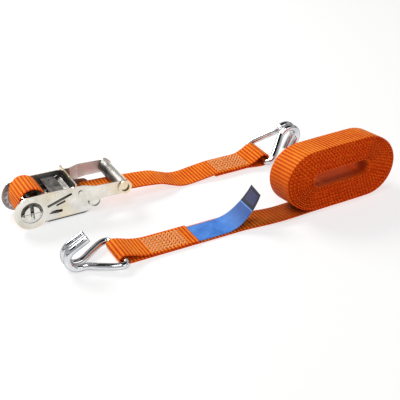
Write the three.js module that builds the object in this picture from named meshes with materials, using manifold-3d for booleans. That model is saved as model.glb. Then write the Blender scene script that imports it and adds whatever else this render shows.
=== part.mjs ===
// Two-part ratchet lashing strap: ratchet with short strap and claw hook, long strap with
// claw hook wound into an upright coil. Millimetres, +X along the straps, +Z up.
import * as THREE from 'three';
import * as BufferGeometryUtils from 'three/addons/utils/BufferGeometryUtils.js';
import Module from 'manifold-3d';

const wasm = await Module();
wasm.setup();

// ---- driving dimensions ----
const WEB_WIDTH = 50;
const WEB_THICK = 2.8;
const GAP = 0.3;
const LOOP_GAP = 0.9;

const SPINDLE_AT = new THREE.Vector3(-259.5, 74, 27);
const FRAME_IN = 25.7;
const PLATE = 1.8;
const WHEEL_IN = FRAME_IN + PLATE + GAP;
const WHEEL_THICK = 2.2;
const ARM_IN = WHEEL_IN + WHEEL_THICK + GAP;
const BOSS_OUT = ARM_IN + 1.1;
const BOSS_R = 16.8;
const ARM_HUB_R = 27;
const ARM_JOG = 8;
const ARM_JOG_START = 84;
const ARM_JOG_END = 100;
const GRIP_AT = { x: 146.5, z: 10.6 };
const GRIP_R = 9.5;
const GRIP_END_R = 11;
const GRIP_CUP = { radius: 7, depth: 3 };

const SPINDLE_R = 12;
const SPINDLE_SLOT = 5.6;
const SPINDLE_HALF_LENGTH = 34.5;
const WHEEL_TIP_R = 23;
const WHEEL_ROOT_R = 19.2;
const WHEEL_TEETH = 16;
const FRAME_HUB_R = 18.6;
const TIE_AT = { x: 101, z: -8 };
const TIE_R = 5;
const TAIL_R = 12;

const DRIVE_SLOT = { x: 24.5, z: 3.6, length: 41.2, angle: 17.55 * Math.PI / 180, height: 3.8 };
const DRIVE_PAWL_THICK = 3;
const LOCK_SLOT = { x: 19.5, z: -8.5, length: 29.4, angle: -4.7 * Math.PI / 180, height: 4.6 };
const LOCK_PAWL_THICK = 3.4;

const WIRE_R = 5.2;
const HOOK_BAR_HALF = 35;
const HOOK_CORNER = 12;
const HOOK_ARM = 60;
const CLAW_HALF = 7.3;
const CLAW_BEND_R = 17;
const CLAW_TURN = 156 * Math.PI / 180;
const CLAW_PRONG = 26;
const REAR_BAR = { x: 149.6, y: 74, z: 9.6, tilt: 38.5 * Math.PI / 180 };
const FRONT_BAR = { x: -178, y: -87, z: 8.9, tilt: 3.4 * Math.PI / 180 };

const LONG_STRAP_Y = -87;
const UPPER_PLY_END = -60;
const LONG_STRAP_DRIFT = { from: -20, to: 100, by: -10 };
const LONG_STRAP_END = 113;
// The wound coil stands on its far lower edge: straight middle, elliptical ends, leaning back and turned.
const COIL = { x: 184.9, y: -90.3, z: 52.55, lean: 6.5 * Math.PI / 180, yaw: 2 * Math.PI / 180 };
const COIL_OUTLINE = { half: 49, endX: 54.5, endZ: 50 };
const COIL_HOLE = { half: 42, endX: 10, endZ: 10.5 };
const LABEL_WIDTH = 43;
const LABEL_THICK = 0.9;

// ---- materials ----
const steel = (name) => new THREE.MeshStandardMaterial({ name, color: 0xd4d6d4, metalness: 0.9, roughness: 0.28 });
const darkSteel = (name) => new THREE.MeshStandardMaterial({ name, color: 0x8d9092, metalness: 0.9, roughness: 0.35 });
const webbing = (name) => new THREE.MeshStandardMaterial({ name, color: 0xe8621a, metalness: 0, roughness: 0.75 });
const labelBlue = (name) => new THREE.MeshStandardMaterial({ name, color: 0x2f62b8, metalness: 0, roughness: 0.5 });

// ---- solids ----
function toSolid(geometry) {
  const bare = geometry.clone();
  bare.deleteAttribute('normal');
  bare.deleteAttribute('uv');
  const merged = BufferGeometryUtils.mergeVertices(bare, 1e-4);
  return new wasm.Manifold(new wasm.Mesh({
    numProp: 3,
    vertProperties: new Float32Array(merged.attributes.position.array),
    triVerts: new Uint32Array(merged.index.array),
  }));
}

function toGeometry(solid) {
  const mesh = solid.getMesh();
  const geometry = new THREE.BufferGeometry();
  geometry.setAttribute('position', new THREE.BufferAttribute(mesh.vertProperties, 3));
  geometry.setIndex(new THREE.BufferAttribute(mesh.triVerts, 1));
  return geometry;
}

// A shape drawn in X and Z, extruded along Y from y0 to y1.
function sideExtrude(shape, y0, y1, curveSegments = 12) {
  const geometry = new THREE.ExtrudeGeometry(shape, { depth: y1 - y0, bevelEnabled: false, curveSegments });
  geometry.rotateX(Math.PI / 2);
  geometry.translate(0, y1, 0);
  return geometry;
}

function box(x0, x1, y0, y1, z0, z1) {
  const geometry = new THREE.BoxGeometry(x1 - x0, y1 - y0, z1 - z0);
  geometry.translate((x0 + x1) / 2, (y0 + y1) / 2, (z0 + z1) / 2);
  return geometry;
}

// A cylinder along Y.
function rod(x, z, radius, y0, y1, sides = 32) {
  const geometry = new THREE.CylinderGeometry(radius, radius, y1 - y0, sides);
  geometry.translate(x, (y0 + y1) / 2, z);
  return geometry;
}

function mirrorY(geometry) {
  const mirrored = geometry.index ? geometry.toNonIndexed() : geometry.clone();
  mirrored.scale(1, -1, 1);
  const position = mirrored.attributes.position;
  for (let i = 0; i < position.count; i += 3) {
    const b = new THREE.Vector3().fromBufferAttribute(position, i + 1);
    const c = new THREE.Vector3().fromBufferAttribute(position, i + 2);
    position.setXYZ(i + 1, c.x, c.y, c.z);
    position.setXYZ(i + 2, b.x, b.y, b.z);
  }
  return mirrored;
}

function cut(geometry, ...tools) {
  return toGeometry(tools.reduce((solid, tool) => solid.subtract(toSolid(tool)), toSolid(geometry)));
}

function join(geometry, ...others) {
  return toGeometry(others.reduce((solid, other) => solid.add(toSolid(other)), toSolid(geometry)));
}

function outline(points) {
  return new THREE.Shape(points.map(([x, z]) => new THREE.Vector2(x, z)));
}

// A bar of the given height lying along a slot's line, as a cutter or a plate.
function slotBar(slot, from, to, height, y0, y1) {
  const geometry = box(from, to, y0, y1, -height / 2, height / 2);
  geometry.rotateY(-slot.angle);
  geometry.translate(slot.x, 0, slot.z);
  return geometry;
}

const assembly = new THREE.Group();
const ratchet = new THREE.Group();
ratchet.position.copy(SPINDLE_AT);
assembly.add(ratchet);

function add(parent, name, geometry, material) {
  const mesh = new THREE.Mesh(geometry, material(name));
  mesh.name = name;
  parent.add(mesh);
  return mesh;
}

// ---- ratchet frame: two side plates, floor and spring seat ----
function frameSide() {
  const shape = new THREE.Shape();
  shape.moveTo(FRAME_HUB_R, -1);
  shape.lineTo(60, 8);
  shape.lineTo(88, 6);
  shape.lineTo(TIE_AT.x, TIE_AT.z + TAIL_R);
  shape.absarc(TIE_AT.x, TIE_AT.z, TAIL_R, Math.PI / 2, -Math.PI / 2, true);
  shape.lineTo(84, -25);
  shape.lineTo(26, -25);
  shape.lineTo(8, -16.8);
  shape.absarc(0, 0, FRAME_HUB_R, -1.13, -0.054, true);
  const plate = sideExtrude(shape, -FRAME_IN - PLATE, -FRAME_IN, 10);
  const y0 = -FRAME_IN - PLATE - 1;
  const y1 = -FRAME_IN + 1;
  return cut(
    plate,
    rod(0, 0, SPINDLE_R + GAP, y0, y1),
    rod(TIE_AT.x, TIE_AT.z, TIE_R + GAP, y0, y1, 24),
    slotBar(LOCK_SLOT, 0, LOCK_SLOT.length, LOCK_SLOT.height, y0, y1),
  );
}

const FLOOR = { x0: 21, x1: 86, z0: -25, z1: -23.4 };
const SEAT_X = 56;
const frameNear = frameSide();
add(ratchet, 'frame_side_near', frameNear, steel);
add(ratchet, 'frame_side_far', mirrorY(frameNear), steel);
const inner = FRAME_IN - GAP;
add(ratchet, 'frame_floor', box(FLOOR.x0, FLOOR.x1, -inner, inner, FLOOR.z0, FLOOR.z1), steel);
add(ratchet, 'lock_spring_seat', box(SEAT_X, SEAT_X + PLATE, -inner, inner, -17, -4), darkSteel);

// ---- tie bolt across the frame's tail ----
const TIE_HEAD_R = 10;
const TIE_HEAD_CUP = 7.6;
const frameOut = FRAME_IN + PLATE + GAP;
const tieHead = rod(TIE_AT.x, TIE_AT.z, TIE_HEAD_R, -frameOut - 3.2, -frameOut, 28);
const tieCup = rod(TIE_AT.x, TIE_AT.z, TIE_HEAD_CUP, -frameOut - 5, -frameOut - 1.4, 24);
const tieShaft = rod(TIE_AT.x, TIE_AT.z, TIE_R, -frameOut - 1, frameOut + 5.5, 20);
add(ratchet, 'tie_bolt', join(cut(tieHead, tieCup), tieShaft), steel);
const tieNut = rod(TIE_AT.x, TIE_AT.z, 9, frameOut, frameOut + 4.5, 6);
const tieNutBore = rod(TIE_AT.x, TIE_AT.z, TIE_R + GAP, frameOut - 1, frameOut + 6, 20);
add(ratchet, 'tie_bolt_nut', cut(tieNut, tieNutBore), darkSteel);

// ---- lock pawl in the frame's slots, with its spring ----
const LOCK_TIP = 2.7;
const LOCK_END = 24.5;
const lockPlate = slotBar(LOCK_SLOT, LOCK_TIP, LOCK_END, LOCK_PAWL_THICK, -inner, inner);
const lockEars = slotBar(LOCK_SLOT, LOCK_TIP, LOCK_END - 1.5, LOCK_PAWL_THICK, -ARM_IN + 0.4, ARM_IN - 0.4);
add(ratchet, 'lock_pawl', join(lockPlate, lockEars), steel);

class Helix extends THREE.Curve {
  constructor(radius, length, turns) {
    super();
    this.radius = radius;
    this.length = length;
    this.turns = turns;
  }

  getPoint(t, target = new THREE.Vector3()) {
    const angle = t * this.turns * 2 * Math.PI;
    return target.set(t * this.length, this.radius * Math.cos(angle), this.radius * Math.sin(angle));
  }
}

function spring(radius, length, turns, wire) {
  const section = new THREE.Shape();
  section.absarc(0, 0, wire, 0, 2 * Math.PI);
  const path = new Helix(radius, length, turns);
  return new THREE.ExtrudeGeometry(section, {
    steps: turns * 10, bevelEnabled: false, extrudePath: path, curveSegments: 3,
  });
}

const SPRING_WIRE = 0.6;
function springAlong(slot, from, to, y) {
  const clear = SPRING_WIRE + GAP;
  const geometry = spring(2.6, to - from - 2 * clear, 5, SPRING_WIRE);
  geometry.translate(from + clear, y, 0);
  geometry.rotateY(-slot.angle);
  geometry.translate(slot.x, 0, slot.z);
  return geometry;
}
const seatAlong = (SEAT_X - LOCK_SLOT.x) / Math.cos(LOCK_SLOT.angle) - 0.4;
add(ratchet, 'lock_spring', springAlong(LOCK_SLOT, LOCK_END, seatAlong, 0), darkSteel);

// ---- spindle: two half-round bars in the keyed ratchet wheels, held by split pins ----
const PIN_R = 1.3;
const PIN_Y = BOSS_OUT + GAP + PIN_R;
function halfMoon(radius, flat, sign) {
  const start = Math.acos(flat / radius);
  const shape = new THREE.Shape();
  const middle = sign > 0 ? 0 : Math.PI;
  shape.absarc(0, 0, radius, middle - start, middle + start, false);
  shape.closePath();
  return shape;
}
const pinHole = (y) => {
  const geometry = new THREE.CylinderGeometry(PIN_R + GAP, PIN_R + GAP, 40, 12);
  geometry.rotateZ(Math.PI / 2);
  geometry.translate(0, y, 0);
  return geometry;
};
for (const [name, sign] of [['spindle_half_left', -1], ['spindle_half_right', 1]]) {
  const shape = halfMoon(SPINDLE_R, SPINDLE_SLOT / 2, sign);
  const bar = sideExtrude(shape, -SPINDLE_HALF_LENGTH, SPINDLE_HALF_LENGTH, 18);
  add(ratchet, name, cut(bar, pinHole(-PIN_Y), pinHole(PIN_Y)), steel);
}

function ratchetWheel() {
  const points = [];
  for (let i = 0; i < WHEEL_TEETH; i += 1) {
    const start = (i / WHEEL_TEETH) * 2 * Math.PI;
    const pitch = (2 * Math.PI) / WHEEL_TEETH;
    points.push([WHEEL_TIP_R * Math.cos(start), WHEEL_TIP_R * Math.sin(start)]);
    points.push([WHEEL_ROOT_R * Math.cos(start + 0.1 * pitch), WHEEL_ROOT_R * Math.sin(start + 0.1 * pitch)]);
    points.push([WHEEL_TIP_R * Math.cos(start + 0.82 * pitch), WHEEL_TIP_R * Math.sin(start + 0.82 * pitch)]);
  }
  const disc = sideExtrude(outline(points), -WHEEL_IN - WHEEL_THICK, -WHEEL_IN);
  const boss = rod(0, 0, BOSS_R, -BOSS_OUT, -WHEEL_IN - 0.5, 40);
  const keyways = [-1, 1].map((sign) => {
    const shape = halfMoon(SPINDLE_R + GAP, SPINDLE_SLOT / 2 - GAP, sign);
    return sideExtrude(shape, -BOSS_OUT - 1, -WHEEL_IN + 1, 18);
  });
  return cut(join(disc, boss), ...keyways);
}
const wheelNear = ratchetWheel();
add(ratchet, 'ratchet_wheel_near', wheelNear, steel);
add(ratchet, 'ratchet_wheel_far', mirrorY(wheelNear), steel);

for (const [name, sign] of [['split_pin_near', -1], ['split_pin_far', 1]]) {
  const pin = new THREE.CapsuleGeometry(PIN_R, 27, 3, 12);
  pin.rotateZ(Math.PI / 2);
  pin.translate(0, sign * PIN_Y, 0);
  add(ratchet, name, pin, darkSteel);
}

// ---- handle: two cranked arms, bridge, grip tube and shroud ----
function handleArm() {
  const side = new THREE.Shape();
  side.moveTo(0, ARM_HUB_R);
  side.lineTo(25, 26.8);
  side.lineTo(63, 26);
  side.lineTo(94, 24);
  side.lineTo(134, 21.8);
  side.lineTo(GRIP_AT.x, GRIP_AT.z + GRIP_END_R);
  side.absarc(GRIP_AT.x, GRIP_AT.z, GRIP_END_R, Math.PI / 2, -Math.PI / 2, true);
  side.lineTo(113, 1);
  side.lineTo(80, -2.5);
  side.lineTo(34, -5);
  side.quadraticCurveTo(27.5, -5.6, 24.6, -11.1);
  side.absarc(0, 0, ARM_HUB_R, -0.424, -1.5 * Math.PI, true);
  const y0 = ARM_IN;
  const y1 = ARM_IN + PLATE;
  const plan = new THREE.Shape([
    [-40, y0], [ARM_JOG_START, y0], [ARM_JOG_END, y0 + ARM_JOG], [170, y0 + ARM_JOG],
    [170, y1 + ARM_JOG], [ARM_JOG_END, y1 + ARM_JOG], [ARM_JOG_START, y1], [-40, y1],
  ].map(([x, y]) => new THREE.Vector2(x, -y)).reverse());
  const planSolid = new THREE.ExtrudeGeometry(plan, { depth: 80, bevelEnabled: false });
  planSolid.translate(0, 0, -40);
  const sideSolid = sideExtrude(side, -y1 - ARM_JOG - 1, -y0 + 1, 16);
  const plate = toGeometry(toSolid(sideSolid).intersect(toSolid(planSolid)));
  const far = -y0 + 2;
  const near = -y1 - ARM_JOG - 2;
  return cut(
    plate,
    rod(0, 0, BOSS_R + GAP, near, far, 40),
    rod(GRIP_AT.x, GRIP_AT.z, GRIP_R + GAP, near, far, 28),
    rod(RIVET_AT.x, RIVET_AT.z, RIVET_R + GAP, near, far, 16),
    slotBar(DRIVE_SLOT, 0, DRIVE_SLOT.length, DRIVE_SLOT.height, near, far),
  );
}
const RIVET_AT = { x: 78.5, z: 13.6 };
const RIVET_R = 2.2;
const armNear = handleArm();
add(ratchet, 'handle_arm_near', armNear, steel);
add(ratchet, 'handle_arm_far', mirrorY(armNear), steel);

function armRivet() {
  const head = rod(RIVET_AT.x, RIVET_AT.z, 3.9, -ARM_IN - PLATE - GAP - 1.2, -ARM_IN - PLATE - GAP, 16);
  const tail = rod(RIVET_AT.x, RIVET_AT.z, 3.4, -ARM_IN + GAP, -ARM_IN + GAP + 1.2, 16);
  const shank = rod(RIVET_AT.x, RIVET_AT.z, RIVET_R, -ARM_IN - PLATE - 1, -ARM_IN + 0.6, 16);
  return join(head, tail, shank);
}
const rivetNear = armRivet();
add(ratchet, 'arm_rivet_near', rivetNear, steel);
add(ratchet, 'arm_rivet_far', mirrorY(rivetNear), steel);

const BRIDGE = { x0: 34, x1: 56, z0: 19.2, z1: 20.8 };
const TAB = { x0: 51.4, x1: 53, half: 5, low: 9.5 };
const armInner = ARM_IN - GAP;
const bridgeWeb = box(BRIDGE.x0, BRIDGE.x1, -armInner, armInner, BRIDGE.z0, BRIDGE.z1);
const bridgeTab = box(TAB.x0, TAB.x1, -TAB.half, TAB.half, TAB.low, BRIDGE.z0 + 0.5);
add(ratchet, 'handle_bridge', join(bridgeWeb, bridgeTab), darkSteel);

const gripOut = ARM_IN + ARM_JOG + PLATE + GAP;
const gripLip = gripOut + 2.6;
function gripTube() {
  const { x, z } = GRIP_AT;
  const core = rod(x, z, GRIP_R, -gripLip, gripLip, 28);
  const collars = [-1, 1].map((side) => {
    const ends = [side * gripOut, side * gripLip].sort((a, b) => a - b);
    return rod(x, z, GRIP_END_R, ...ends, 28);
  });
  const cups = [-1, 1].map((side) => {
    const ends = [side * (gripLip - GRIP_CUP.depth), side * (gripLip + 1)].sort((a, b) => a - b);
    return rod(x, z, GRIP_CUP.radius, ...ends, 24);
  });
  return cut(join(core, ...collars), ...cups);
}
add(ratchet, 'grip_tube', gripTube(), steel);

const SHROUD = { inner: 10.4, outer: 11.8, from: 1.75, to: 3.75 };
const shroud = new THREE.Shape();
shroud.absarc(0, 0, SHROUD.outer, SHROUD.from, SHROUD.to, false);
shroud.absarc(0, 0, SHROUD.inner, SHROUD.to, SHROUD.from, true);
const shroudHalf = ARM_IN + ARM_JOG - GAP;
const shroudSolid = sideExtrude(shroud, -shroudHalf, shroudHalf, 12);
shroudSolid.translate(GRIP_AT.x, 0, GRIP_AT.z);
add(ratchet, 'grip_shroud', shroudSolid, darkSteel);

// ---- drive pawl with its finger plate and spring ----
const DRIVE_TIP = -0.9;
const DRIVE_BACK = 44;
const WINDOW = { from: 12, to: 33, half: 7 };
function drivePawl() {
  const plate = slotBar(DRIVE_SLOT, DRIVE_TIP, DRIVE_BACK, DRIVE_PAWL_THICK, -armInner, armInner);
  const ears = slotBar(DRIVE_SLOT, 2.5, 30.5, DRIVE_PAWL_THICK, -ARM_IN - PLATE - 1, ARM_IN + PLATE + 1);
  const window = slotBar(DRIVE_SLOT, WINDOW.from, WINDOW.to, 8, -WINDOW.half, WINDOW.half);
  const bendX = DRIVE_SLOT.x + DRIVE_BACK * Math.cos(DRIVE_SLOT.angle);
  const bendZ = DRIVE_SLOT.z + DRIVE_BACK * Math.sin(DRIVE_SLOT.angle);
  const flange = sideExtrude(outline([
    [bendX - 1.6, bendZ - 1.9], [bendX + 0.6, bendZ - 1.2], [bendX + 4.6, 27.8], [bendX + 2.4, 27.8],
  ]), -armInner, armInner);
  const finger = sideExtrude(outline([
    [bendX + 2.3, 27.4], [bendX + 4.5, 27.4], [bendX + 5.4, 31.6], [bendX + 3.2, 31.6],
  ]), -35, 35);
  return join(cut(join(plate, ears), window), flange, finger);
}
add(ratchet, 'drive_pawl', drivePawl(), steel);
const tabAlong = (TAB.x0 - DRIVE_SLOT.x) / Math.cos(DRIVE_SLOT.angle) - 1.4;
add(ratchet, 'drive_spring', springAlong(DRIVE_SLOT, WINDOW.from, tabAlong, 0), darkSteel);

// ---- webbing ----
// A strap of constant thickness whose centre line runs through the points in X and Z.
function strap(points, y, steps, width = WEB_WIDTH, thick = WEB_THICK) {
  const path = new THREE.CatmullRomCurve3(points.map(([x, z]) => new THREE.Vector3(x, 0, z)), false, 'centripetal');
  const upper = [];
  const lower = [];
  for (let i = 0; i <= steps; i += 1) {
    const point = path.getPointAt(i / steps);
    const tangent = path.getTangentAt(i / steps);
    const normal = new THREE.Vector2(-tangent.z, tangent.x).normalize().multiplyScalar(thick / 2);
    upper.push(new THREE.Vector2(point.x + normal.x, point.z + normal.y));
    lower.push(new THREE.Vector2(point.x - normal.x, point.z - normal.y));
  }
  return sideExtrude(new THREE.Shape([...upper, ...lower.reverse()]), y - width / 2, y + width / 2);
}

// Centre line points of a half turn round a bar.
function aroundBar(x, z, radius, fromAngle, toAngle, count) {
  const points = [];
  for (let i = 0; i <= count; i += 1) {
    const angle = fromAngle + ((toAngle - fromAngle) * i) / count;
    points.push([x + radius * Math.cos(angle), z + radius * Math.sin(angle)]);
  }
  return points;
}

const HALF = WEB_THICK / 2;
const PLY = WEB_THICK + GAP;
const sx = SPINDLE_AT.x;
const sz = SPINDLE_AT.z;
const floorRun = sz + FLOOR.z1 + GAP + HALF;
const overBolt = sz + TIE_AT.z + TIE_R + GAP + HALF + 0.1;
const TAIL_SPLIT = 34;
const shortStrap = [
  [sx + TAIL_SPLIT, floorRun], [sx + 52, floorRun], [sx + 72, floorRun + 1.5], [sx + 86, floorRun + 9.5],
  [sx + TIE_AT.x - 4, overBolt - 0.6], [sx + TIE_AT.x + 2, overBolt + 0.1], [sx + 116, overBolt - 0.7],
  [-113, 23.6], [-95, 21.8], [-66, 19.4], [-42, 16], [-25, 9.5], [-8, 3.6], [8, 2.4], [30, 4.6],
];
const shortLoop = [
  [30 + GAP, 4.6], [60, 7.6], [95, 7.7], [118, 8.2], [134, 14.5], [142, 19.4],
  ...aroundBar(148.8, 11.2, 9.4, 0.5 * Math.PI, -0.5 * Math.PI, 6),
  [141, 1.9], [128, 3.4], [116, 4.9], [95, 7.7 - PLY], [70, 7.7 - PLY], [56, 7.3 - PLY],
];
add(assembly, 'short_strap', strap(shortStrap, SPINDLE_AT.y, 66), webbing);
add(assembly, 'short_strap_loop', strap(shortLoop, SPINDLE_AT.y, 60), webbing);

const strapTail = [
  [sx + TAIL_SPLIT - GAP - 0.1, floorRun], [sx + 16, floorRun], [sx + 1, floorRun + 0.8], [sx - 10.5, sz - 14],
  [sx - 15.6, sz - 4], [sx - 16, sz + 10], [sx - 12.6, sz + 24], [sx - 3, sz + 33], [sx + 8, sz + 34.4],
  [sx + 18, sz + 30], [sx + 25, sz + 21], [sx + 27, sz + 14],
];
add(assembly, 'strap_tail', strap(strapTail, SPINDLE_AT.y, 40), webbing);

const frontLoopR = WIRE_R + LOOP_GAP + HALF;
const frontStrap = [
  [UPPER_PLY_END, HALF + PLY], [-110, HALF + PLY], [-135, HALF + PLY + 0.7], [-152, HALF + PLY + 4.1],
  [-168, HALF + PLY + 9.7],
  ...aroundBar(FRONT_BAR.x, FRONT_BAR.z, frontLoopR, 0.5 * Math.PI, 1.5 * Math.PI, 8),
  [FRONT_BAR.x + 1, HALF], [-150, HALF], [-60, HALF], [40, HALF], [LONG_STRAP_END, HALF],
];
const longStrap = strap(frontStrap, LONG_STRAP_Y, 90);
const longPosition = longStrap.attributes.position;
for (let i = 0; i < longPosition.count; i += 1) {
  const along = THREE.MathUtils.smoothstep(longPosition.getX(i), LONG_STRAP_DRIFT.from, LONG_STRAP_DRIFT.to);
  longPosition.setY(i, longPosition.getY(i) + LONG_STRAP_DRIFT.by * along);
}
add(assembly, 'long_strap', longStrap, webbing);

function coilOutline({ half, endX, endZ }, shape) {
  shape.absellipse(half, 0, endX, endZ, -Math.PI / 2, Math.PI / 2, false, 0);
  shape.absellipse(-half, 0, endX, endZ, Math.PI / 2, 1.5 * Math.PI, false, 0);
  shape.closePath();
  return shape;
}
const coilShape = coilOutline(COIL_OUTLINE, new THREE.Shape());
coilShape.holes.push(coilOutline(COIL_HOLE, new THREE.Path()));
const coil = add(assembly, 'strap_coil', sideExtrude(coilShape, -WEB_WIDTH / 2, WEB_WIDTH / 2, 18), webbing);
coil.rotation.set(-COIL.lean, 0, COIL.yaw, 'ZYX');
coil.position.set(COIL.x, COIL.y, COIL.z);

// ---- label sewn under the end of the upper ply, curling up off the strap ----
const labelRest = WEB_THICK + GAP + LABEL_THICK / 2;
const label = [
  [UPPER_PLY_END + GAP + 0.3, labelRest], [-30, labelRest], [-8, labelRest + 0.6], [8, 8.5], [22, 17.5],
  [34, 29], [43, 41], [48, 50],
];
add(assembly, 'label', strap(label, LONG_STRAP_Y - 1, 36, LABEL_WIDTH, LABEL_THICK), labelBlue);

// ---- claw hooks: one bent wire each ----
// The bar lies along Y at the origin, the arms run along +X and the claws curl towards +Z.
function hookSide(sign) {
  const points = [];
  const bendX = HOOK_ARM;
  const endX = bendX + CLAW_BEND_R * Math.sin(CLAW_TURN);
  const endZ = CLAW_BEND_R * (1 - Math.cos(CLAW_TURN));
  const tip = [endX + CLAW_PRONG * Math.cos(CLAW_TURN), endZ + CLAW_PRONG * Math.sin(CLAW_TURN)];
  points.push([tip[0], sign * CLAW_HALF, tip[1]]);
  points.push([(tip[0] + endX) / 2, sign * CLAW_HALF, (tip[1] + endZ) / 2]);
  const arcSteps = 7;
  for (let i = arcSteps; i >= 0; i -= 1) {
    const turn = (CLAW_TURN * i) / arcSteps;
    points.push([bendX + CLAW_BEND_R * Math.sin(turn), sign * CLAW_HALF, CLAW_BEND_R * (1 - Math.cos(turn))]);
  }
  points.push([bendX - 8, sign * (CLAW_HALF + 1.2), 0]);
  points.push([HOOK_CORNER + 22, sign * (HOOK_BAR_HALF - 14.5), 0]);
  points.push([HOOK_CORNER, sign * (HOOK_BAR_HALF - 1.2), 0]);
  points.push([HOOK_CORNER * 0.3, sign * (HOOK_BAR_HALF - 1), 0]);
  points.push([HOOK_CORNER * 0.02, sign * (HOOK_BAR_HALF - HOOK_CORNER * 0.55), 0]);
  points.push([0, sign * (HOOK_BAR_HALF - HOOK_CORNER), 0]);
  return points;
}

function hook() {
  const points = [...hookSide(-1), [0, 0, 0], ...hookSide(1).reverse()];
  const path = new THREE.CatmullRomCurve3(points.map((p) => new THREE.Vector3(...p)), false, 'centripetal');
  const section = new THREE.Shape();
  section.absarc(0, 0, WIRE_R, 0, 2 * Math.PI);
  return new THREE.ExtrudeGeometry(section, {
    steps: 84, bevelEnabled: false, extrudePath: path, curveSegments: 6,
  });
}

const rearHook = add(assembly, 'rear_hook', hook(), steel);
rearHook.rotation.set(Math.PI, -REAR_BAR.tilt, 0, 'YXZ');
rearHook.position.set(REAR_BAR.x, REAR_BAR.y, REAR_BAR.z);

const frontHook = add(assembly, 'front_hook', hook(), steel);
frontHook.rotation.set(0, -FRONT_BAR.tilt, Math.PI, 'YXZ');
frontHook.position.set(FRONT_BAR.x, FRONT_BAR.y, FRONT_BAR.z);

// ---- origin at the middle of the box's base ----
assembly.updateMatrixWorld(true);
const bounds = new THREE.Box3().setFromObject(assembly, true);
const middle = bounds.getCenter(new THREE.Vector3());
assembly.position.set(-middle.x, -middle.y, -bounds.min.z);

export default assembly;
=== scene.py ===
"""Looks of the ratchet tie down: ribbed orange webbing, plated ratchet and claw hooks, blue label."""

import math

import bpy
import numpy as np
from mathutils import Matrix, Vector


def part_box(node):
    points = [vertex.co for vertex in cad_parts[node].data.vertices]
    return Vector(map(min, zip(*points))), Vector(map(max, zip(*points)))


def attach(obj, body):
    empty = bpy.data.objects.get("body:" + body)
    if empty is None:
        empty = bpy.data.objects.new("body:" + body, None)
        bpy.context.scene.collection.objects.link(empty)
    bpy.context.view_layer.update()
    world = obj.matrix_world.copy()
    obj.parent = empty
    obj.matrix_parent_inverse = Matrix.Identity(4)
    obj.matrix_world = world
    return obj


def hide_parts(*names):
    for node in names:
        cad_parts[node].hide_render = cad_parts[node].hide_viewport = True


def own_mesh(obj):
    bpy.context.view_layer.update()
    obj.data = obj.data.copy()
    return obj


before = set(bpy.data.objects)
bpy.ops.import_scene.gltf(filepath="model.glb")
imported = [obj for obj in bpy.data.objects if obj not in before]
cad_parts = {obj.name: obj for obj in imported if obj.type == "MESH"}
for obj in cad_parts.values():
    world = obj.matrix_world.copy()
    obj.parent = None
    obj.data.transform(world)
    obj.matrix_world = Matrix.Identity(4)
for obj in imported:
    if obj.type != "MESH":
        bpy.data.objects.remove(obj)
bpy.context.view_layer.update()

# ---- places ----
# Places are millimetres in the layout that the CAD part is drawn in, unless a comment says otherwise. The
# coil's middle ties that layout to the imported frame.
MM = 0.001
COIL_AT = np.array([184.9, -90.3, 52.55])
COIL_LEAN = math.radians(6.5)
COIL_YAW = math.radians(2)
COIL_OUTER = {"half": 49.0, "end_x": 54.5, "end_z": 50.0}
COIL_INNER = {"half": 42.0, "end_x": 10.0, "end_z": 10.5}
COIL_TURNS = 14
coil_low, coil_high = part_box("strap_coil")
LAYOUT = np.array((coil_low + coil_high) / 2) - COIL_AT * MM

SPINDLE = np.array([-259.5, 74.0, 27.0])
# Each pawl's slot starts at x, z from the spindle and runs at this angle.
DRIVE_SLOT = (24.5, 3.6, math.radians(17.55))
LOCK_SLOT = (19.5, -8.5, math.radians(-4.7))
ARM_FACE = -32.1
ARM_JOG = 84.0
GRIP_AT = (146.5, 10.6)
LONG_Y = -87.0
FRONT_BAR = {"at": (-178.0, -87.0, 8.9), "tilt": math.radians(3.4)}
REAR_BAR = {"at": (149.6, 74.0, 9.6), "tilt": math.radians(38.5)}
WIRE_R = 5.2
GAP = 0.3
LOOP_GAP = 0.9

# ---- camera ----
CAMERA = {"heading": 28.0, "pitch": 30.4, "distance": 1.4202, "lens": 81.0}


def make_camera():
    heading, pitch = math.radians(CAMERA["heading"]), math.radians(CAMERA["pitch"])
    back = Vector((
        -math.sin(heading) * math.cos(pitch),
        -math.cos(heading) * math.cos(pitch),
        math.sin(pitch),
    ))
    data = bpy.data.cameras.new("camera")
    data.lens = CAMERA["lens"]
    data.sensor_width = 36
    data.clip_start = 0.05
    data.clip_end = 50
    camera = bpy.data.objects.new("camera", data)
    bpy.context.scene.collection.objects.link(camera)
    camera.location = Vector(LAYOUT) + back * CAMERA["distance"]
    camera.rotation_mode = "QUATERNION"
    camera.rotation_quaternion = (-back).to_track_quat("-Z", "Y")
    bpy.context.scene.camera = camera


make_camera()


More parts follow.
